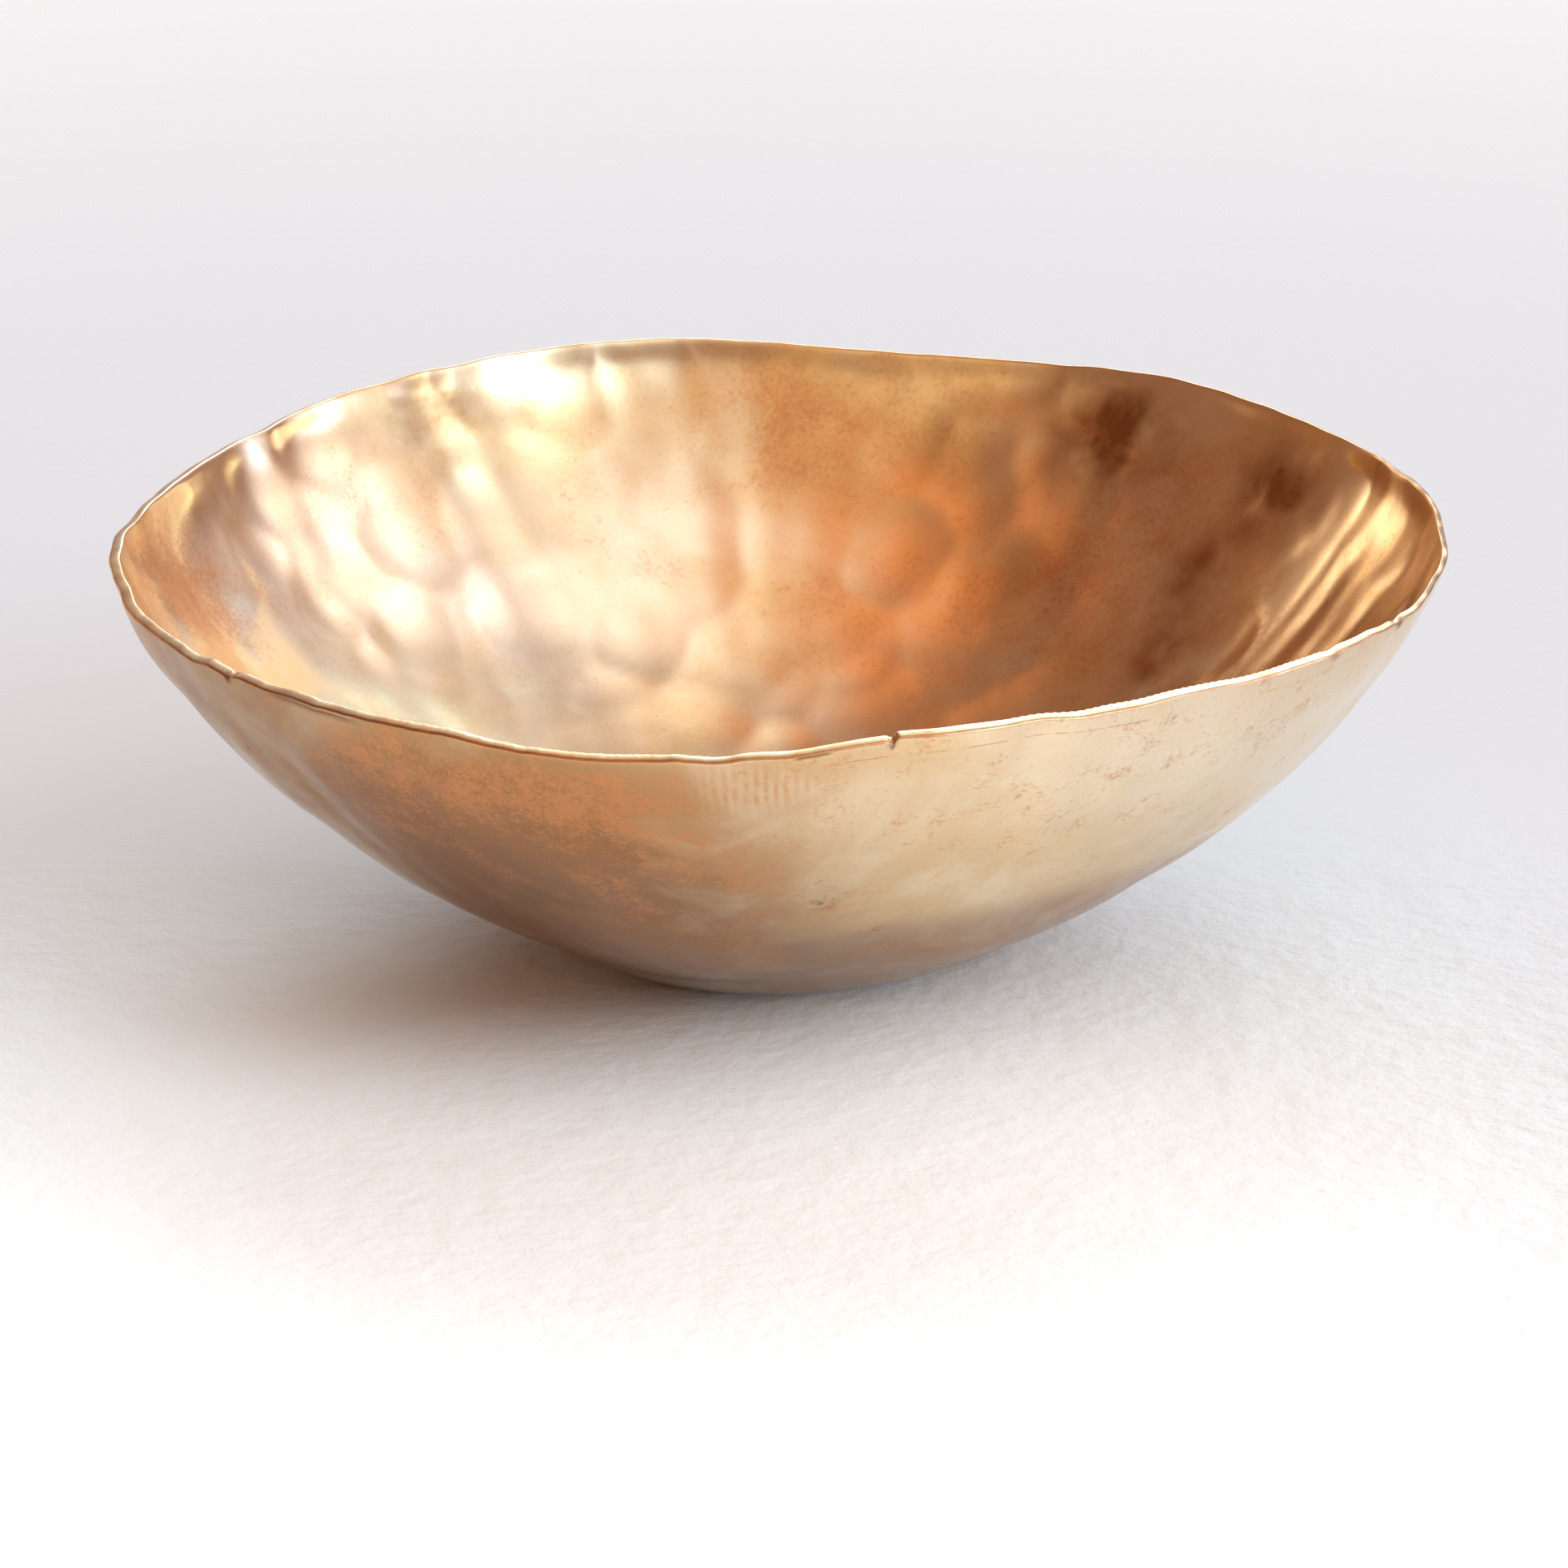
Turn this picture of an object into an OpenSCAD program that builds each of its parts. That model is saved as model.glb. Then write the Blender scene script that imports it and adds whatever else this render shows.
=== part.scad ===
// Small hand-raised bowl: one disc of sheet metal sunk and planished into a shallow dish.
// The cross-section is a flat foot and three arcs that meet smoothly, turned about the Z axis.
// Millimetres, +Z up, origin at the centre of the flat foot.

/* [Rim] */
// Outside diameter across the rim
rim_d = 63.5; // [60:0.5:70]
// Slope of the wall where it ends at the rim, in degrees from horizontal
rim_slope = 71; // [66:1:78]
// Radius of the outside where the wall turns up towards the rim
rim_turn_r = 14; // [10:1:18]

/* [Wall] */
// Height of the rim's outer edge above the table
rim_h = 20.4; // [19:0.2:23]
// Outside radius of the long arc between the foot and the rim's turn
wall_r = 48; // [42:1:60]
// Thickness of the sheet
sheet_t = 0.5; // [0.4:0.05:1]

/* [Foot] */
// Diameter of the flat that the bowl stands on
foot_d = 12; // [8:0.5:15]
// Outside radius of the blend from the foot into the wall
foot_blend_r = 12; // [8:1:16]

/* [Hidden] */
// Segments round the turned shape
$fn = 180;
// Degrees between the points along each arc of the cross-section
arc_step = 2;
bowl_color = "#d9b27c";

rim_r = rim_d / 2;
foot_r = foot_d / 2;

// Centres of the three arcs, as [radius, height] in the cross-section.
// The wall arc is tangent to both of its neighbours, so its centre is as far from theirs
// as the radii differ.
foot_centre = [foot_r, foot_blend_r];
rim_centre = [rim_r - rim_turn_r * sin(rim_slope), rim_h + rim_turn_r * cos(rim_slope)];
wall_centre = circles_meet(foot_centre, wall_r - foot_blend_r, rim_centre, wall_r - rim_turn_r);

// Directions from the arcs' centres to the points where they start and end
down = -90;
foot_end = bearing(foot_centre - wall_centre);
wall_end = bearing(rim_centre - wall_centre);
rim_end = rim_slope - 90;

// Angle of a 2D vector from the radius axis
function bearing(v) = atan2(v.y, v.x);

// Point at a distance and a bearing from another point
function polar(from, distance, angle) = from + distance * [cos(angle), sin(angle)];

// The point at distance ra from a and rb from b, on the left of the line from a to b
function circles_meet(a, ra, b, rb) =
    let (
        gap = norm(b - a),
        along = (ra * ra - rb * rb + gap * gap) / (2 * gap),
        aside = sqrt(ra * ra - along * along),
        line = (b - a) / gap
    )
    a + along * line + aside * [-line.y, line.x];

// Points along an arc, without its first, which is the end of the stretch before it
function arc(centre, r, start, end) =
    let (steps = ceil(abs(end - start) / arc_step))
    [for (i = [1:steps]) polar(centre, r, start + (end - start) * i / steps)];

// One side of the sheet from the axis to the rim, at a depth below the outside
function sheet_side(depth) = concat(
    [[0, depth], [foot_r, depth]],
    arc(foot_centre, foot_blend_r - depth, down, foot_end),
    arc(wall_centre, wall_r - depth, foot_end, wall_end),
    arc(rim_centre, rim_turn_r - depth, wall_end, rim_end)
);

function reversed(list) = [for (i = [len(list) - 1:-1:0]) list[i]];

module bowl() {
    color(bowl_color)
        rotate_extrude()
            polygon(concat(sheet_side(0), reversed(sheet_side(sheet_t))));
}

bowl();
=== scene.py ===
"""A small hand-raised bowl of golden sheet metal, hammered inside and out, on a pale surface.

The bowl is one thin sheet. Its mesh is a set of rings that run from the middle of the
underside, up the outside, over the cut edge at the rim and down the inside.
Lengths are metres, except where a comment or a name says mm. An azimuth is in degrees: 0 is
+X, 90 is +Y (away from the camera) and 270 is nearest the camera. Theta is the same in radians.
"""

import math

import bpy
import numpy as np
from mathutils import Euler, Matrix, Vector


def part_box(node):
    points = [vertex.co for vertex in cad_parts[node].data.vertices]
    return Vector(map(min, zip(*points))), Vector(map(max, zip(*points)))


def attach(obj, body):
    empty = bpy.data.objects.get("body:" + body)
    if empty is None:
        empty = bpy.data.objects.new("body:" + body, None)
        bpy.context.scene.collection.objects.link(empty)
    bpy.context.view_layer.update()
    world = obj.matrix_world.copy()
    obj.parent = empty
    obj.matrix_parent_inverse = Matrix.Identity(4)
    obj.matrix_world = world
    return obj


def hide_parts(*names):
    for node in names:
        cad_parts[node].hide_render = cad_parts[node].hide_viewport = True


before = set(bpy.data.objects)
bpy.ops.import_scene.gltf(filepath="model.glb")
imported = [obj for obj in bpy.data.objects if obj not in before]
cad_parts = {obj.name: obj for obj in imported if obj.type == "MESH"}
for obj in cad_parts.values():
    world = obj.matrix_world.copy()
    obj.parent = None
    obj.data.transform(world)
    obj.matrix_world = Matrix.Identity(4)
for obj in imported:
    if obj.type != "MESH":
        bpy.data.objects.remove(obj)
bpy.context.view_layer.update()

MM = 0.001
TURN = 2 * math.pi

# ---------------------------------------------------------------- the bowl's section

SHEET_T = 0.5 * MM
FOOT_R = 6 * MM
# The wall's arcs from the foot to the rim: radius of the outside, and slope in degrees where it ends
WALL_ARCS = ((12 * MM, 25.0), (48 * MM, 54.7), (14 * MM, 71.0))

low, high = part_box("bowl")
RIM_R = (high.x - low.x) / 2
RIM_SLOPE = math.radians(WALL_ARCS[-1][1])
RIM_H = high.z - SHEET_T * math.cos(RIM_SLOPE)


def section_table(samples=4000):
    """Arc length, radius, height and slope at closely spaced points along the outside."""
    knots, slopes = [0.0, FOOT_R], [0.0, 0.0]
    for radius, end in WALL_ARCS:
        turn = math.radians(end) - slopes[-1]
        knots.append(knots[-1] + radius * turn)
        slopes.append(math.radians(end))
    s = np.linspace(0, knots[-1], samples)
    slope = np.interp(s, knots, slopes)
    step = np.diff(s)
    middle = (slope[1:] + slope[:-1]) / 2
    r = np.concatenate([[0], np.cumsum(step * np.cos(middle))])
    z = np.concatenate([[0], np.cumsum(step * np.sin(middle))])
    return s, r * RIM_R / r[-1], z * RIM_H / z[-1], slope


TABLE_S, TABLE_R, TABLE_Z, TABLE_SLOPE = section_table()
WALL_LENGTH = TABLE_S[-1]


def base_points(s, theta):
    """Places on the outside of the plain turned section."""
    r = np.interp(s, TABLE_S, TABLE_R)
    z = np.interp(s, TABLE_S, TABLE_Z)
    return np.stack([r * np.cos(theta), r * np.sin(theta), z], axis=-1)


# ---------------------------------------------------------------- bumps, bands and fades


def smooth(x, low_edge, high_edge):
    """0 below one value, 1 above another, and an even curve between them."""
    t = np.clip((x - low_edge) / (high_edge - low_edge), 0, 1)
    return t * t * (3 - 2 * t)


def band(x, middle, width):
    """A bump of height 1 round a middle value."""
    return np.exp(-(((x - middle) / width) ** 2))


def turned(theta, azimuth):
    """Degrees from an azimuth, between -180 and 180."""
    return (np.degrees(theta) - azimuth + 180) % 360 - 180


def around(theta, azimuth, width):
    """A bump of height 1 round an azimuth, with a width in degrees."""
    return band(turned(theta, azimuth), 0, width)


def between(theta, first, last, fade):
    """1 from one azimuth to another, fading over some degrees at both ends."""
    half = (last - first) / 2
    return 1 - smooth(np.abs(turned(theta, first + half)), half - fade, half + fade)


def stretches(theta, parts):
    """Sum of stretches round the rim, each (azimuths from and to, fade in degrees, share)."""
    return sum(share * between(theta, first, last, fade) for first, last, fade, share in parts)


# ---------------------------------------------------------------- what the hammer left

# Each kind of dent: usual radius and depth, and how far the ridges between dents are rounded.
# Sinking pushes both sides of the sheet, raising marks the inside and planishing the outside.
SINKING_DENT = (6.5 * MM, 0.25 * MM, 0.02 * MM)
RAISING_DENT = (3.4 * MM, 0.17 * MM, 0.008 * MM)
PLANISHING_DENT = (3.6 * MM, 0.043 * MM, 0.006 * MM)
# The sinking dents' mean depth, taken off so that the wall stays where the section has it
SINKING_MEAN = 0.14 * MM
# Distance between courses of dents, as a share of the distance between the dents along a course
COURSE_PITCH = 0.87


def dent_sites(seed, first, last, pitch, jitter):
    """Hammer blows in courses from one arc length to another: place, and depth and radius as shares."""
    rng = np.random.default_rng(seed)
    sites = []
    for s in np.arange(first, last, pitch * COURSE_PITCH):
        r = np.interp(s, TABLE_S, TABLE_R)
        count = max(5, int(round(TURN * r / pitch)))
        start = rng.uniform(0, TURN)
        for i in range(count):
            theta = start + TURN * i / count + rng.normal(0, jitter) * pitch / r
            along = s + rng.normal(0, jitter) * pitch
            sites.append((along, theta, rng.uniform(0.3, 1.5), rng.uniform(0.7, 1.3)))
    return np.array(sites)


SINKING = dent_sites(seed=3, first=2 * MM, last=WALL_LENGTH + 3 * MM, pitch=9 * MM, jitter=0.22)
RAISING = dent_sites(seed=11, first=3 * MM, last=WALL_LENGTH + 2 * MM, pitch=4.2 * MM, jitter=0.3)
PLANISHING = dent_sites(seed=7, first=3 * MM, last=WALL_LENGTH + 2 * MM, pitch=4.4 * MM, jitter=0.3)


def dented(points, sites, radius, depth, softness):
    """Depth of overlapping shallow dents at each point: the deepest there, with soft ridges between."""
    centres = base_points(sites[:, 0], sites[:, 1])
    out = np.empty(len(points))
    for start in range(0, len(points), 4000):
        block = points[start:start + 4000]
        gap = np.linalg.norm(block[:, None] - centres[None], axis=2) / (radius * sites[:, 3])
        each = depth * sites[:, 2] * (1 - gap**2)
        total = np.exp(np.clip(each / softness, -30, 60)).sum(axis=1)
        out[start:start + 4000] = softness * np.log(total + 1)
    return out


# ---------------------------------------------------------------- what the saw and file left

# The rim's unevenness: (waves round the rim, size in mm, azimuth in degrees of a crest)
RIM_SPREAD = ((1, 0.15, 180), (3, 0.20, -7), (5, 0.20, 46))
RIM_RISE = ((2, 0.21, 128), (4, 0.20, 22), (6, 0.13, -7), (8, 0.11, 7))
# Its small ripples: waves round the rim from, to, and their total size in mm
RIM_RIPPLE = (12, 70, 0.035)
# Hammering along the edge has thickened the sheet there by this share, fading over this distance
RIM_SWELL = 0.3
RIM_SWELL_REACH = 9 * MM
# At the right end the edge is filed thinner instead: by this share less, and from, to and fade
RIM_FILED = 0.54
FILED_STRETCH = (-28, 32, 12)
# Teeth that the saw left along the inner edge, and the stretches that have them
TEETH = 480
TOOTH_H = 0.035 * MM
TOOTHED = ((289, 322, 3, 1.0), (232, 262, 5, 0.4))
# Waves round the rim that make up the rough burr on its left, their size in mm and where it is
BURR_WAVES = (61, 73, 89, 103, 127, 149, 179, 211)
BURR_H = 0.004
BURRED_STRETCH = (196, 270, 8)
# The step and the notch at the front right: azimuth, and height or depth in mm
STEP_AT, STEP_H = 279.2, 0.13
NOTCH_AT, NOTCH_DEPTH = 278.9, 0.22
# Kinks of the rim: azimuth, rise in mm, width in degrees
KINKS = ((217, -0.12, 0.5), (323, -0.10, 0.9), (334, -0.16, 0.8), (214, 0.07, 0.8), (329, 0.06, 1.2))


def waves(theta, terms):
    """Long waves round the rim, in metres."""
    return sum(size * np.cos(n * (theta - math.radians(crest))) for n, size, crest in terms) * MM


def ripple(theta, seed):
    """Small uneven waves round the rim, in metres."""
    rng = np.random.default_rng(seed)
    first, last, size = RIM_RIPPLE
    out = np.zeros_like(theta)
    for n in range(first, last):
        out += rng.normal() * np.cos(n * theta + rng.uniform(0, TURN)) * (first / n) ** 0.6
    return out * size * MM / math.sqrt((last - first) / 4)


def rim_teeth(theta, below, inside):
    """Height of the saw teeth along the inner edge, in metres."""
    tooth = np.abs((theta * TEETH / TURN) % 1 - 0.5) * 2 - 0.5
    edge = smooth(inside, 0.5, 1.0) * (1 - smooth(below, 0.05 * MM, 0.3 * MM))
    return tooth * TOOTH_H * stretches(theta, TOOTHED) * edge


def rim_flaws(theta, below, inside):
    """Height added to the rim by its step, notch, kinks, burr and saw teeth, in metres."""
    past_step = turned(theta, STEP_AT)
    step = STEP_H * (smooth(past_step, -0.15, 0.1) - smooth(past_step, 1, 14))
    notch = -NOTCH_DEPTH * around(theta, NOTCH_AT, 0.28) * (1 - inside * 0.5)
    kinks = sum(rise * around(theta, azimuth, width) for azimuth, rise, width in KINKS)
    burr = BURR_H * sum(np.cos(n * theta + 1.7 * n * n) for n in BURR_WAVES)
    burr *= between(theta, *BURRED_STRETCH)
    near = 1 - smooth(below, 0.1 * MM, 1.0 * MM)
    return (step + notch + kinks + burr) * MM * near + rim_teeth(theta, below, inside)


# ---------------------------------------------------------------- creases and strokes outside

# The crease under the rim at the left, and the open undercut near the notch: from, to and fade
CREASED_STRETCH = (223, 232.5, 1.5)
UNDERCUT_STRETCH = (271, 273.8, 0.5)
# How deep the crease, the undercut and the pit under the notch are, in mm
CREASE_DEPTH, UNDERCUT_DEPTH, PIT_DEPTH = 0.07, 0.08, 0.09
# Long shallow strokes on the outside: azimuths and mm below the rim of the ends, width and depth in mm
STROKES = (
    (228, 4.0, 250, 12.5, 0.9, 0.030), (232, 8.0, 252, 15.5, 0.8, 0.028), (241, 5.0, 262, 11.0, 1.0, 0.020),
    (214, 3.0, 236, 13.0, 0.9, 0.028), (292, 9.0, 316, 5.0, 0.9, 0.018),
)


def crease(theta, below_mm, width_mm):
    """1 along the crease, which slants away from the rim."""
    return between(theta, *CREASED_STRETCH) * band(below_mm, 0.22 + 0.02 * turned(theta, 226), width_mm)


def undercut(theta, below_mm):
    """1 along the undercut."""
    return between(theta, *UNDERCUT_STRETCH) * band(below_mm, 0.16, 0.07)


def pit(theta, below_mm, middle_mm):
    """1 at the middle of the pit under the notch."""
    return around(theta, NOTCH_AT, 0.35) * band(below_mm, middle_mm, 0.16)


def stroked(theta, below_mm):
    """Depth of the strokes that the burnisher left, in mm."""
    out = np.zeros_like(theta)
    for first, top, last, bottom, width, depth in STROKES:
        along = turned(theta, first) / (last - first)
        middle = top + (bottom - top) * along + 0.8 * np.sin(math.pi * np.clip(along, 0, 1))
        ends = smooth(along, 0, 0.3) * (1 - smooth(along, 0.7, 1))
        out += depth * ends * band(below_mm, middle, width)
    return out


def wall_grooves(theta, below, inside):
    """How far the outside is pressed in by its creases and strokes, in metres."""
    below_mm = below / MM
    pressed = CREASE_DEPTH * crease(theta, below_mm, 0.12) + UNDERCUT_DEPTH * undercut(theta, below_mm)
    pressed += PIT_DEPTH * pit(theta, below_mm, 0.2) + stroked(theta, below_mm)
    return pressed * MM * (1 - smooth(inside, 0.1, 0.5))


# ---------------------------------------------------------------- the shape of the sheet


def hammered(s, theta, flat, inside):
    """How far hammering and burnishing move the surface outwards, in metres."""
    share = np.clip(s / WALL_LENGTH, 0, 1.05)
    push = (dented(flat, SINKING, *SINKING_DENT) - SINKING_MEAN) * smooth(share, 0.1, 0.45)
    inner = dented(flat, RAISING, *RAISING_DENT) * (0.6 + 0.4 * smooth(share, 0.05, 0.3))
    inner *= 1 - 0.7 * smooth(s, WALL_LENGTH - 1.5 * MM, WALL_LENGTH)
    outer = dented(flat, PLANISHING, *PLANISHING_DENT) * smooth(share, 0.15, 0.4)
    return push + inner * inside - outer * (1 - inside) - wall_grooves(theta, WALL_LENGTH - s, inside)


def sheet_points(s, theta, depth):
    """Places on the sheet, at an arc length up the outside, an azimuth and a depth into the metal."""
    slope = np.interp(s, TABLE_S, TABLE_SLOPE)
    radial = np.stack([np.cos(theta), np.sin(theta), 0 * theta], axis=-1)
    out = radial * np.sin(slope)[:, None]
    out[:, 2] = -np.cos(slope)
    flat = base_points(s, theta)
    share = np.clip(s / WALL_LENGTH, 0, 1.05)
    inside = depth / SHEET_T
    below = WALL_LENGTH - s

    swell = RIM_SWELL - RIM_FILED * between(theta, *FILED_STRETCH)
    deep = depth * (1 + swell * (1 - smooth(below, 0, RIM_SWELL_REACH)))
    points = flat + out * (hammered(s, theta, flat, inside) - deep)[:, None]
    spread = (waves(theta, RIM_SPREAD) + ripple(theta, seed=5)) * smooth(share, 0.3, 1.0)
    points += radial * spread[:, None]
    points[:, 2] += (waves(theta, RIM_RISE) + ripple(theta, seed=9)) * smooth(share, 0.35, 1.0)
    points[:, 2] += rim_flaws(theta, below, inside)
    points[:, 2] = np.maximum(points[:, 2], 0)
    return points


# ---------------------------------------------------------------- where the surface is stained, dulled and painted with shade and highlights

# Every patch below is (azimuth and mm below the rim of its middle, degrees and mm of spread, strength).

# Copper-red stains. Inside, the patches at the far left are a painted reflection: the copper tint that the
# metal takes from mirroring itself
OUTSIDE_STAINS = (
    (256, 3.5, 9, 3.0, 1.0), (240, 3.0, 12, 3.5, 0.9), (262, 8.0, 7, 3.5, 0.7), (248, 12.0, 14, 4.0, 0.5),
    (225, 5.0, 10, 5.0, 0.5), (285, 5.0, 12, 2.5, 0.25), (270, 14.0, 12, 3.0, 0.3), (120, 6.0, 30, 6.0, 0.7),
    (40, 12.0, 25, 7.0, 0.6), (350, 15.0, 20, 4.0, 0.3),
)
INSIDE_STAINS = (
    (174, 3.5, 15, 5.0, 1.1), (168, 6.5, 6, 2.5, 0.8), (92, 4.0, 9, 3.0, 0.7), (76, 3.0, 10, 3.0, 0.35),
    (66, 15.0, 16, 6.0, 0.5), (50, 10.0, 9, 6.0, 0.7), (100, 9.0, 4, 1.5, 0.4), (30, 12.0, 20, 9.0, 0.5),
    (320, 18.0, 40, 9.0, 0.5),
)
# Brown darkening, partly dull tarnish and partly painted shade: outside it darkens the left and lower wall,
# where the metal mirrors the shaded floor; inside it darkens patches, mostly on the right wall, where it
# mirrors the dark room
OUTSIDE_DULL = (
    (226, 8.0, 24, 12.0, 0.8), (252, 7.0, 18, 11.0, 0.6), (250, 20.0, 30, 7.0, 0.6), (206, 1.0, 14, 5.0, 0.3),
    (262, 13.0, 20, 9.0, 0.25), (100, 15.0, 40, 12.0, 0.5), (20, 6.0, 14, 5.0, 0.4),
)
INSIDE_DULL = (
    (124, 2.5, 9, 3.5, 0.5), (55, 3.6, 6, 3.0, 1.0), (33, 4.0, 5, 2.4, 0.9), (38, 9.5, 4, 2.2, 0.75),
    (34, 14.5, 5, 2.6, 0.8),
)
# Painted highlights: the metal is painted palest inside, where it mirrors bright light, and outside at the
# front right, where it mirrors the lit floor
OUTSIDE_POLISH = ((304, 3.0, 18, 7.0, 0.9), (332, 6.0, 16, 7.0, 0.8), (276, 5.0, 8, 4.0, 0.3))
INSIDE_POLISH = (
    (162, 9.0, 10, 5.0, 0.9), (140, 6.0, 9, 4.0, 0.6), (107, 10.8, 9, 4.0, 0.9), (128, 12.0, 9, 4.0, 0.5),
    (121, 17.0, 12, 3.5, 0.8),
)
# Where a finger has smudged the outside, and where small dark pits cluster
FINGER_SMUDGE = ((266.5, 1.9, 6.0, 1.3, 1.1),)
PITTED = (
    (274, 12.1, 1.6, 0.6, 0.9), (281, 15.9, 1.8, 0.5, 0.5), (307, 7.4, 1.0, 0.4, 0.5),
    (286, 8.4, 1.5, 0.5, 0.3),
)

# The outside is duller than the inside by this share all over, and less under the painted highlights
OUTSIDE_DULL_ALL = 0.22
# The underside is darkened as painted shade, where it mirrors the shadow under the bowl: strength of this
# darkening, and mm below the rim where it fades in
UNDERSIDE_DULL = 0.95
UNDERSIDE_FROM = (12, 18)
# The stretch of rim that has a scribed line under it
SCRIBED_STRETCH = (270.5, 326, 2)
# The cut face is darkened by this share, partly oxide and partly painted shade where it would mirror bright
# light, with darker stretches, and one stretch at the front kept bright
BURNT_ALL = 0.4
BURNT_DARKER = ((160, 220, 8, 0.3), (222, 234, 4, 0.5), (338, 382, 8, 1.1))
CLEAN_STRETCH = (240, 326, 6)
# Painted shade in the kinks: azimuth, width in degrees, share
KINK_DIRT = ((217, 0.4, 1.0), (323, 0.7, 0.6), (334, 0.7, 0.8))


def patch_share(theta, below_mm, patches):
    """Strength at each point of a set of soft patches."""
    out = np.zeros_like(theta)
    for azimuth, down, degrees, spread, strength in patches:
        out += strength * around(theta, azimuth, degrees) * band(below_mm, down, spread)
    return np.clip(out, 0, 1.2)


def burnt_face(theta, below_mm, inside):
    """How dark the cut face is between the sheet's two sides: partly oxide, partly painted shade."""
    face = smooth(inside, 0.0, 0.1) * (1 - smooth(inside, 0.75, 0.95)) * (1 - smooth(below_mm, 0.1, 0.2))
    uneven = 0.6 + 0.25 * np.sin(17 * theta) * np.sin(41 * theta + 1) + 0.15 * np.sin(97 * theta)
    burnt = BURNT_ALL + stretches(theta, BURNT_DARKER)
    return burnt * (1 - between(theta, *CLEAN_STRETCH)) * uneven * face


def grime(theta, below_mm, inside):
    """Darkening: painted shade in the creases, the kinks and the notch, and on most of the cut face partly
    oxide and partly painted shade.
    """
    kinks = sum(share * around(theta, azimuth, width) for azimuth, width, share in KINK_DIRT)
    kinks *= 1 - smooth(below_mm, 0.1, 0.5)
    creases = crease(theta, below_mm, 0.11) + undercut(theta, below_mm) + pit(theta, below_mm, 0.15)
    outside = 1 - smooth(inside, 0.2, 0.6)
    return np.clip((creases + kinks) * outside + burnt_face(theta, below_mm, inside), 0, 1)


def sheet_marks(s, theta, depth):
    """What the metal's material reads at each vertex, by name."""
    below_mm = (WALL_LENGTH - s) / MM
    inside = depth / SHEET_T
    outside = 1 - inside

    def share(patches):
        return patch_share(theta, below_mm, patches)

    outer_polish = share(OUTSIDE_POLISH) * outside
    outer_dull = share(OUTSIDE_DULL) + OUTSIDE_DULL_ALL * (1 - 0.8 * outer_polish)
    # Painted shade on the underside, which mirrors the shadow under the bowl
    outer_dull = np.maximum(outer_dull, UNDERSIDE_DULL * smooth(below_mm, *UNDERSIDE_FROM))
    return {
        "below_rim": below_mm,
        "inside": inside,
        "stain": share(OUTSIDE_STAINS) * outside + share(INSIDE_STAINS) * inside,
        "dull": outer_dull * outside + share(INSIDE_DULL) * inside,
        "polish": outer_polish + share(INSIDE_POLISH) * inside,
        "grime": grime(theta, below_mm, inside),
        "smudge": share(FINGER_SMUDGE) * outside,
        "pitted": share(PITTED) * outside,
        "scribed": between(theta, *SCRIBED_STRETCH) * outside,
    }


# ---------------------------------------------------------------- the mesh

# Rings are this far apart on the wall, up to a band at the rim that has its own
RING_SPACING = 0.5 * MM
RIM_BAND = 1.4 * MM
# The rings over the cut edge: columns, mm below the rim's crest, mm into the sheet
EDGE_RINGS = (
    (960, 1.05, 0.0), (1920, 0.8, 0.0), (1920, 0.6, 0.0), (1920, 0.42, 0.0), (1920, 0.28, 0.0),
    (1920, 0.15, 0.0), (1920, 0.08, 0.01), (1920, 0.035, 0.03), (1920, 0.01, 0.07), (1920, 0.0, 0.14),
    (1920, 0.0, 0.28), (1920, 0.0, 0.4), (1920, 0.015, 0.46), (1920, 0.06, 0.49), (1920, 0.15, 0.5),
    (1920, 0.36, 0.5), (1920, 0.58, 0.5), (1920, 0.8, 0.5), (960, 1.05, 0.5),
)


def ring_count(r):
    """Columns in a ring: 15, doubled until they are no further apart than the rings, up to 480."""
    count = 15
    while TURN * r / count > RING_SPACING and count < 480:
        count *= 2
    return count


def ring_plan():
    """(columns, distance along the wall below the rim's crest, depth into the sheet) of every ring."""
    body = np.linspace(RING_SPACING, WALL_LENGTH - RIM_BAND, int(WALL_LENGTH / RING_SPACING))
    up = [(ring_count(np.interp(s, TABLE_S, TABLE_R)), WALL_LENGTH - s, 0.0) for s in body]
    edge = [(count, below * MM, depth * MM) for count, below, depth in EDGE_RINGS]
    down = [(count, below, SHEET_T) for count, below, _ in reversed(up)]
    return up + edge + down


def sheet_layout(plan):
    """Arc length, azimuth and depth of every vertex: the middle underneath, the rings, the middle inside."""
    s, theta, depth = [np.zeros(1)], [np.zeros(1)], [np.zeros(1)]
    for count, below, into in plan:
        s.append(np.full(count, WALL_LENGTH - below))
        theta.append(TURN * np.arange(count) / count)
        depth.append(np.full(count, into))
    s.append(np.zeros(1))
    theta.append(np.zeros(1))
    depth.append(np.full(1, SHEET_T))
    return np.concatenate(s), np.concatenate(theta), np.concatenate(depth)


def bridge(a, na, b, nb):
    """Faces between two rings that start at vertices a and b, the same size or one twice the other."""
    i = np.arange(min(na, nb))
    j = (i + 1) % min(na, nb)
    p, q, m = 2 * i, 2 * i + 1, (2 * i + 2) % max(na, nb)
    if na == nb:
        groups = [(a + i, a + j, b + j, b + i)]
    elif nb == 2 * na:
        groups = [(a + i, b + q, b + p), (a + i, a + j, b + q), (a + j, b + m, b + q)]
    else:
        groups = [(b + i, a + p, a + q), (b + i, a + q, b + j), (b + j, a + q, a + m)]
    return [tuple(face) for group in groups for face in np.stack(group, axis=1).tolist()]


def sheet_faces(counts):
    """A fan round the middle of each side, and the bands between rings."""
    starts = [1 + sum(counts[:k]) for k in range(len(counts))]
    first, last, end = counts[0], counts[-1], 1 + sum(counts)
    faces = [(0, starts[0] + (i + 1) % first, starts[0] + i) for i in range(first)]
    for k in range(len(counts) - 1):
        faces += bridge(starts[k], counts[k], starts[k + 1], counts[k + 1])
    faces += [(starts[-1] + i, starts[-1] + (i + 1) % last, end) for i in range(last)]
    return faces


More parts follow.
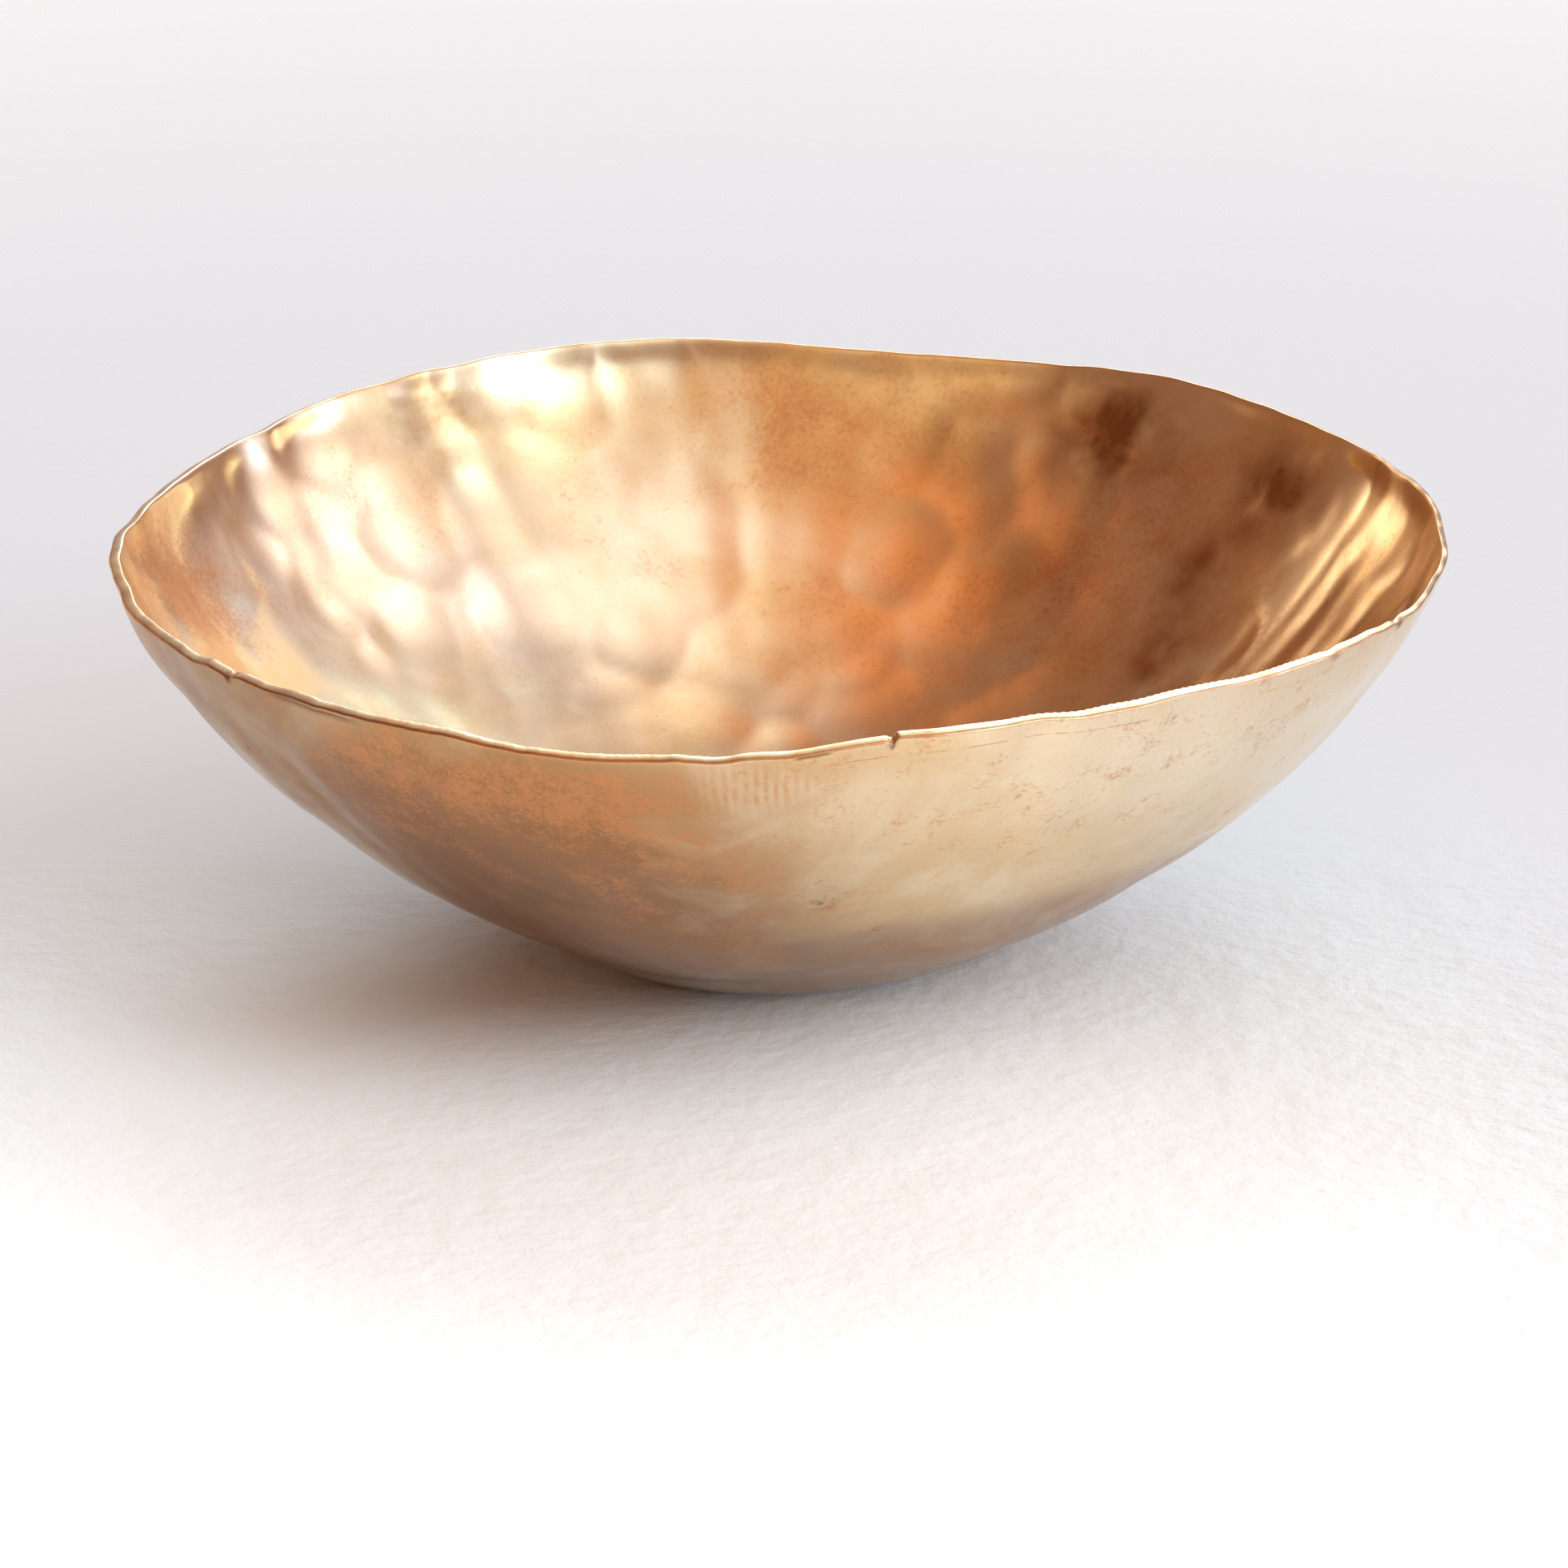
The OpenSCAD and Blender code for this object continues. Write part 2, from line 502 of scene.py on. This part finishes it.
def bowl_mesh():
    """The whole hammered sheet, with its marks as point attributes."""
    plan = ring_plan()
    layout = sheet_layout(plan)
    mesh = bpy.data.meshes.new("hammered_sheet")
    mesh.from_pydata(sheet_points(*layout).tolist(), [], sheet_faces([ring[0] for ring in plan]))
    mesh.validate()
    mesh.shade_smooth()
    for name, values in sheet_marks(*layout).items():
        layer = mesh.attributes.new(name, "FLOAT", "POINT")
        layer.data.foreach_set("value", values.astype(np.float32))
    return mesh


# ---------------------------------------------------------------- building node trees


class Graph:
    """Short calls for building a node tree."""

    def __init__(self, tree):
        self.tree = tree

    def node(self, kind, inputs=(), **settings):
        made = self.tree.nodes.new(kind)
        for key, value in settings.items():
            setattr(made, key, value)
        for key, value in dict(inputs).items():
            self.set(made.inputs[key], value)
        return made

    def set(self, socket, value):
        if isinstance(value, bpy.types.NodeSocket):
            self.tree.links.new(value, socket)
        elif isinstance(value, bpy.types.Node):
            self.tree.links.new(value.outputs[0], socket)
        else:
            socket.default_value = value

    def math(self, operation, a, b=0.0, c=0.0):
        return self.node("ShaderNodeMath", {0: a, 1: b, 2: c}, operation=operation).outputs[0]

    def times(self, a, b):
        return self.math("MULTIPLY", a, b)

    def times_add(self, a, b, c):
        return self.math("MULTIPLY_ADD", a, b, c)

    def off_middle(self, noise):
        """A noise, less its middle value."""
        return self.math("SUBTRACT", noise, 0.5)

    def vector(self, operation, a, b):
        return self.node("ShaderNodeVectorMath", {0: a, 1: b}, operation=operation)

    def distance(self, a, b):
        return self.vector("DISTANCE", a, b).outputs["Value"]

    def mix(self, share, a, b):
        made = self.node("ShaderNodeMix", data_type="RGBA")
        self.set(made.inputs[0], share)
        self.set(made.inputs[6], a)
        self.set(made.inputs[7], b)
        return made.outputs[2]

    def noise(self, where, scale, detail=4.0, roughness=0.5, distortion=0.0):
        look = {"Scale": scale, "Detail": detail, "Roughness": roughness, "Distortion": distortion}
        return self.node("ShaderNodeTexNoise", {"Vector": where, **look}).outputs["Fac"]

    def ramp(self, value, low_edge, high_edge, low_out=0.0, high_out=1.0):
        edges = {"From Min": low_edge, "From Max": high_edge, "To Min": low_out, "To Max": high_out}
        made = self.node("ShaderNodeMapRange", {"Value": value, **edges}, interpolation_type="SMOOTHSTEP")
        return made.outputs[0]


# ---------------------------------------------------------------- the metal

PALE_BRASS = (0.95, 0.79, 0.54, 1)
GOLD_BRASS = (0.90, 0.67, 0.37, 1)
COPPER_STAIN = (0.66, 0.29, 0.12, 1)
DULL_BROWN = (0.39, 0.19, 0.078, 1)
RED_TARNISH = (0.60, 0.22, 0.10, 1)
POLISHED = (0.98, 0.89, 0.72, 1)
BROWN_TARNISH = (0.22, 0.10, 0.05, 1)

# The noises that the colour is made of, from broad to fine: scale, detail, roughness, distortion
CLOUDS = (150, 6, 0.6, 0.4)
BLOTCH = (380, 3, 0.55, 0.2)
MOTTLE = (850, 6, 0.68, 0.3)
GRAIN = (4200, 3, 0.65)

# Distance between the smudge's ridges
RIDGE_PITCH = 0.46 * MM
# The scribed line: mm below the rim and half width in mm
SCRIBED_BELOW = 0.68
SCRIBED_WIDTH = 0.028


class MetalGraph(Graph):
    """A graph with the metal's coordinates, its marks and the noises that its parts share."""

    def __init__(self, tree):
        super().__init__(tree)
        self.where = self.node("ShaderNodeTexCoord").outputs["Object"]
        self.inside = self.mark("inside")
        self.below = self.mark("below_rim")
        self.clouds = self.noise(self.where, *CLOUDS)
        self.blotch = self.noise(self.where, *BLOTCH)
        self.mottle = self.noise(self.where, *MOTTLE)
        self.grain = self.noise(self.where, *GRAIN)

    def mark(self, name):
        return self.node("ShaderNodeAttribute", attribute_name=name).outputs["Fac"]


def bare_brass(g):
    """Colour of the bare metal under the copper red: pale and deeper brass in clouds, with painted
    highlights, and brown patches that are partly dull tarnish and partly painted shade.
    """
    golder = g.times_add(g.inside, -0.08, g.math("ADD", g.clouds, 0.09))
    brass = g.mix(g.ramp(golder, 0.38, 0.66), PALE_BRASS, GOLD_BRASS)
    # Painted highlights: paler where the metal mirrors bright light
    paler = g.times(g.mark("polish"), g.ramp(g.mottle, 0.3, 0.55, 0.5, 0.85))
    brass = g.mix(paler, brass, POLISHED)
    uneven = g.times_add(g.off_middle(g.blotch), g.times(g.inside, 4.0), 1.0)
    # Brown darkening: partly dull tarnish, partly painted shade
    duller = g.times(g.mark("dull"), g.ramp(g.clouds, 0.3, 0.6, 0.7, 1.0))
    return g.mix(g.times(duller, uneven), brass, DULL_BROWN)


def stain_cover(g):
    """Share of copper red: stains in clouds and patches, broken up by finer noises, and inside at the far
    left a painted reflection.
    """
    lift = g.times_add(g.off_middle(g.clouds), 1.3, g.times(g.mark("stain"), 0.62))
    fine = g.times(g.off_middle(g.grain), 1.7)
    fine = g.times_add(g.off_middle(g.mottle), 1.7, fine)
    fine = g.times_add(g.off_middle(g.blotch), 1.3, fine)
    lift = g.times_add(fine, g.times_add(g.inside, -0.5, 1.1), lift)
    return g.ramp(lift, 0.09, 1.17)


def smudge_cover(g):
    """Share of a finger's smudge: wavering ridges that run up the wall."""
    split = g.node("ShaderNodeSeparateXYZ", {"Vector": g.where})
    angle = g.math("ARCTAN2", split.outputs["Y"], split.outputs["X"])
    drift = g.times(g.noise(g.where, 450, 3), 5.0)
    ridges = g.math("SINE", g.times_add(angle, TURN * RIM_R / RIDGE_PITCH, drift))
    smudge = g.times(g.mark("smudge"), g.ramp(ridges, -0.6, 0.8))
    return g.times(smudge, g.ramp(g.noise(g.where, 1300, 3, 0.6), 0.38, 0.6, 0.2, 1.0))


def scribed_cover(g):
    """Share of the line scribed just under the rim, broken where it has worn away."""
    path = g.times_add(g.noise(g.where, 120, 2), 0.35, SCRIBED_BELOW)
    off = g.math("DIVIDE", g.math("SUBTRACT", g.below, path), SCRIBED_WIDTH)
    line = g.math("EXPONENT", g.times(g.times(off, off), -1.0))
    line = g.times(line, g.ramp(g.noise(g.where, 420, 3, 0.7), 0.47, 0.56))
    return g.times(line, g.mark("scribed"))


def dirt_cover(g):
    """Share of dark brown: the painted shade and oxide of the creases, kinks and cut face, scattered pits
    that are fainter inside, and clusters of specks.
    """
    specks = g.ramp(g.noise(g.where, 1500, 3, 0.6, 1.0), 0.50, 0.62)
    pits = g.ramp(g.noise(g.where, 900, 2, 0.5, 1.5), 0.70, 0.78)
    pits = g.times(pits, g.ramp(g.noise(g.where, 130, 2), 0.5, 0.65))
    pits = g.times(pits, g.times_add(g.inside, -0.85, 1.0))
    pits = g.math("MAXIMUM", g.times(pits, 0.6), g.times(specks, g.mark("pitted")))
    return g.math("MAXIMUM", g.mark("grime"), pits)


def metal_roughness(g, stained, dirt, cut):
    """Satin in clouds, and rougher where it is copper red, mottled, dark with dirt and painted shade, or cut.
    """
    rough = g.times_add(stained, 0.12, g.ramp(g.clouds, 0.3, 0.7, 0.15, 0.24))
    rough = g.times_add(g.off_middle(g.mottle), 0.12, rough)
    rough = g.times_add(dirt, 0.3, rough)
    return g.times_add(cut, 0.06, rough)


def metal_relief(g, dirt):
    """Relief too fine for the mesh, in mm: an uneven burnish, grain, long scratches, and dips under the dirt
    and painted shade.
    """
    peel = g.noise(g.where, 420, 3, 0.5)
    heights = g.times_add(peel, 0.012, g.times(g.grain, 0.0012))
    stretched = {"Vector": g.where, "Scale": (1, 1, 14), "Rotation": (0.3, 0.2, 0.4)}
    scratches = g.noise(g.node("ShaderNodeMapping", stretched), 900, 3, 0.6)
    heights = g.times_add(scratches, 0.0010, heights)
    heights = g.times_add(dirt, -0.01, heights)
    return g.node("ShaderNodeBump", {"Strength": 1.0, "Distance": MM, "Height": heights})


def metal_material():
    """Golden sheet: clouded brass, mottled copper-red stains, a smudge, a scribed line and dark dirt, with
    painted shade, painted highlights and a painted copper reflection.
    """
    material = bpy.data.materials.new("hammered_brass")
    material.use_nodes = True
    g = MetalGraph(material.node_tree)
    shader = material.node_tree.nodes["Principled BSDF"]
    shader.inputs["Metallic"].default_value = 1.0

    stained, dirt = stain_cover(g), dirt_cover(g)
    # Copper red: stains, and inside at the far left a painted reflection
    brass = g.mix(g.times(stained, 0.92), bare_brass(g), COPPER_STAIN)
    brass = g.mix(g.ramp(g.grain, 0.55, 0.8, 0, 0.22), brass, COPPER_STAIN)
    # The cut edge was never pickled clean
    cut = g.ramp(g.below, 0.03, 0.14, 1, 0)
    brass = g.mix(g.times(cut, g.ramp(g.mottle, 0.35, 0.62, 0.2, 0.65)), brass, COPPER_STAIN)
    brass = g.mix(g.times(smudge_cover(g), 0.62), brass, COPPER_STAIN)
    brass = g.mix(g.times(scribed_cover(g), 0.8), brass, RED_TARNISH)
    # Dark brown: dirt and pits, with painted shade in the creases and the kinks and on the cut face
    brass = g.mix(g.times(dirt, 0.85), brass, BROWN_TARNISH)
    g.set(shader.inputs["Base Color"], brass)
    g.set(shader.inputs["Roughness"], metal_roughness(g, stained, dirt, cut))
    g.set(shader.inputs["Normal"], metal_relief(g, dirt))
    return material


# ---------------------------------------------------------------- the floor

# The floor's grey where the bowl stands and its white further off, which is painted brightening, and the tint
# of the painted glow on it
FLOOR_NEAR = (0.77, 0.795, 0.84, 1)
FLOOR_FAR = (0.965, 0.985, 0.99, 1)
GLOW_TINT = (0.82, 0.97, 1, 1)
# A painted pool of light: the floor glows in front of the bowl. Its centre, where it starts and stops fading,
# how much narrower it is than long, and strength
POOL_CENTRE = (-0.008, -0.051, 0)
POOL_REACH = (0.037, 0.085)
POOL_SQUEEZE = 1.6
POOL_GLOW = 0.38
# A painted shadow of the bowl: the glow is cut out under it. Centre, where it starts and stops fading
SHADE_CENTRE = (-0.011, 0.006, 0)
SHADE_REACH = (0.013, 0.033)
# A painted wedge of light under its left side, where the floor glows a little: centre, where it starts and
# stops fading, strength
WEDGE_CENTRE = (-0.024, -0.001, 0)
WEDGE_REACH = (0.001, 0.012)
WEDGE_GLOW = 0.09
# Height of the paper's tooth
TOOTH_RELIEF = 0.17 * MM


def floor_color(g, split):
    """Grey round the bowl, narrower towards the sides, and white in front of it and behind it: painted
    brightening, which in front also lightens the bowl's shadow.
    """
    bow = g.times(g.math("POWER", g.math("ABSOLUTE", split.outputs["X"]), 2.0), 4.0)
    front = g.ramp(g.math("ADD", g.times(split.outputs["Y"], -1.0), bow), 0.004, 0.062)
    back = g.ramp(g.math("ADD", split.outputs["Y"], bow), 0.09, 0.26)
    return g.mix(g.math("MAXIMUM", front, back), FLOOR_NEAR, FLOOR_FAR)


def floor_glow(g, where):
    """Strength of the floor's painted glow: the painted pool of light, cut out by a painted shadow under the
    bowl, and the painted wedge.
    """
    offset = g.vector("MULTIPLY", g.vector("SUBTRACT", where, POOL_CENTRE), (POOL_SQUEEZE, 1, 1))
    reach = g.node("ShaderNodeVectorMath", {0: offset}, operation="LENGTH").outputs["Value"]
    pool = g.ramp(reach, *POOL_REACH, POOL_GLOW, 0.0)
    pool = g.times(pool, g.ramp(g.distance(where, SHADE_CENTRE), *SHADE_REACH))
    wedge = g.ramp(g.distance(where, WEDGE_CENTRE), *WEDGE_REACH, WEDGE_GLOW, 0.0)
    return g.math("ADD", pool, wedge)


def floor_tooth(g, where, split):
    """The paper's slight tooth, which shows in front of the bowl and fades out behind it."""
    tooth = g.math("ADD", g.noise(where, 900, 3, 0.6), g.times(g.noise(where, 260, 2), 1.5))
    tooth = g.times(tooth, g.ramp(split.outputs["Y"], -0.01, 0.025, 1, 0))
    return g.node("ShaderNodeBump", {"Strength": 1.0, "Distance": TOOTH_RELIEF, "Height": tooth})


def floor_material():
    """Pale paper with a slight tooth, painted white beyond the patch that the bowl stands on, and a painted
    glow of light.
    """
    material = bpy.data.materials.new("pale_floor")
    material.use_nodes = True
    g = Graph(material.node_tree)
    shader = material.node_tree.nodes["Principled BSDF"]
    where = g.node("ShaderNodeTexCoord").outputs["Object"]
    split = g.node("ShaderNodeSeparateXYZ", {"Vector": where})
    # Painted brightening: the paper is made whiter away from the bowl
    g.set(shader.inputs["Base Color"], floor_color(g, split))
    # The floor glows here: painted light, not a lamp
    g.set(shader.inputs["Emission Strength"], floor_glow(g, where))
    g.set(shader.inputs["Normal"], floor_tooth(g, where, split))
    shader.inputs["Emission Color"].default_value = GLOW_TINT
    shader.inputs["Roughness"].default_value = 0.75
    return material


# ---------------------------------------------------------------- the stage

# The room's soft light: azimuth, elevation, sharpness, colour times strength
ROOM_GLOWS = (
    (80, 36, 20, (5.0, 6.65, 7.3)),
    (130, 9, 70, (1.95, 1.5, 1.05)),
    (0, 5, 60, (4.3, 4.8, 6.6)),
    (-40, 25, 20, (3.0, 3.7, 4.1)),
    (15, 33, 30, (1.7, 1.7, 1.95)),
    (-25, 66, 15, (0.99, 1.0, 1.0)),
    (-120, 25, 20, (0.5, 0.4, 0.25)),
    (-140, 70, 20, (0.5, 0.15, 0.02)),
    (-90, 43, 12, (0.42, 0.30, 0.17)),
    (48, 16, 60, (0.22, 0.22, 0.32)),
)
ROOM_DARK = (0.30, 0.145, 0.09)


def direction(azimuth, elevation):
    """Unit vector towards an azimuth and an elevation in degrees."""
    a, e = math.radians(azimuth), math.radians(elevation)
    return (math.cos(a) * math.cos(e), math.sin(a) * math.cos(e), math.sin(e))


def make_room():
    """A soft room: bright at the back, the right and the front right, brown and dim elsewhere."""
    world = bpy.data.worlds.new("studio")
    bpy.context.scene.world = world
    world.use_nodes = True
    g = Graph(world.node_tree)
    way = g.node("ShaderNodeTexCoord").outputs["Generated"]
    total = g.node("ShaderNodeCombineXYZ", dict(enumerate(ROOM_DARK)))
    for azimuth, elevation, sharpness, color in ROOM_GLOWS:
        facing = g.vector("DOT_PRODUCT", way, direction(azimuth, elevation)).outputs["Value"]
        glow = g.math("EXPONENT", g.times(g.math("SUBTRACT", facing, 1.0), sharpness))
        tint = g.node("ShaderNodeVectorMath", {0: color, "Scale": glow}, operation="SCALE")
        total = g.vector("ADD", total, tint)
    g.set(world.node_tree.nodes["Background"].inputs["Color"], total)


def make_stage():
    """The floor and the room."""
    bpy.ops.mesh.primitive_plane_add(size=6)
    floor = bpy.context.object
    floor.name = "floor"
    floor.data.materials.append(floor_material())
    make_room()


# The camera looks slightly down from the front: distance in rim radii, angles in degrees, lens in mm
CAMERA_DISTANCE = 13
CAMERA_ELEVATION = 18.0
CAMERA_PITCH = 19.66
CAMERA_ROLL = -0.93
CAMERA_LENS = 198.1
CAMERA_SENSOR = 36.0


def make_camera():
    """The camera, aimed a little below the middle of the rim and rolled slightly."""
    data = bpy.data.cameras.new("camera")
    data.lens, data.sensor_width = CAMERA_LENS, CAMERA_SENSOR
    data.clip_start, data.clip_end = 0.01, 20
    camera = bpy.data.objects.new("camera", data)
    away = CAMERA_DISTANCE * RIM_R
    rise = math.radians(CAMERA_ELEVATION)
    camera.location = (0, -away * math.cos(rise), RIM_H + away * math.sin(rise))
    aim = Euler((math.radians(90 - CAMERA_PITCH), 0, 0)).to_matrix()
    roll = Matrix.Rotation(math.radians(CAMERA_ROLL), 3, "Z")
    camera.rotation_euler = (aim @ roll).to_euler()
    bpy.context.scene.collection.objects.link(camera)
    bpy.context.scene.camera = camera


# ---------------------------------------------------------------- putting it together

bpy.context.scene.view_settings.view_transform = "Standard"

bowl = bpy.data.objects.new("hammered_bowl", bowl_mesh())
bpy.context.scene.collection.objects.link(bowl)
bowl.data.materials.append(metal_material())
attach(bowl, "root")
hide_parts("bowl")
make_stage()
make_camera()
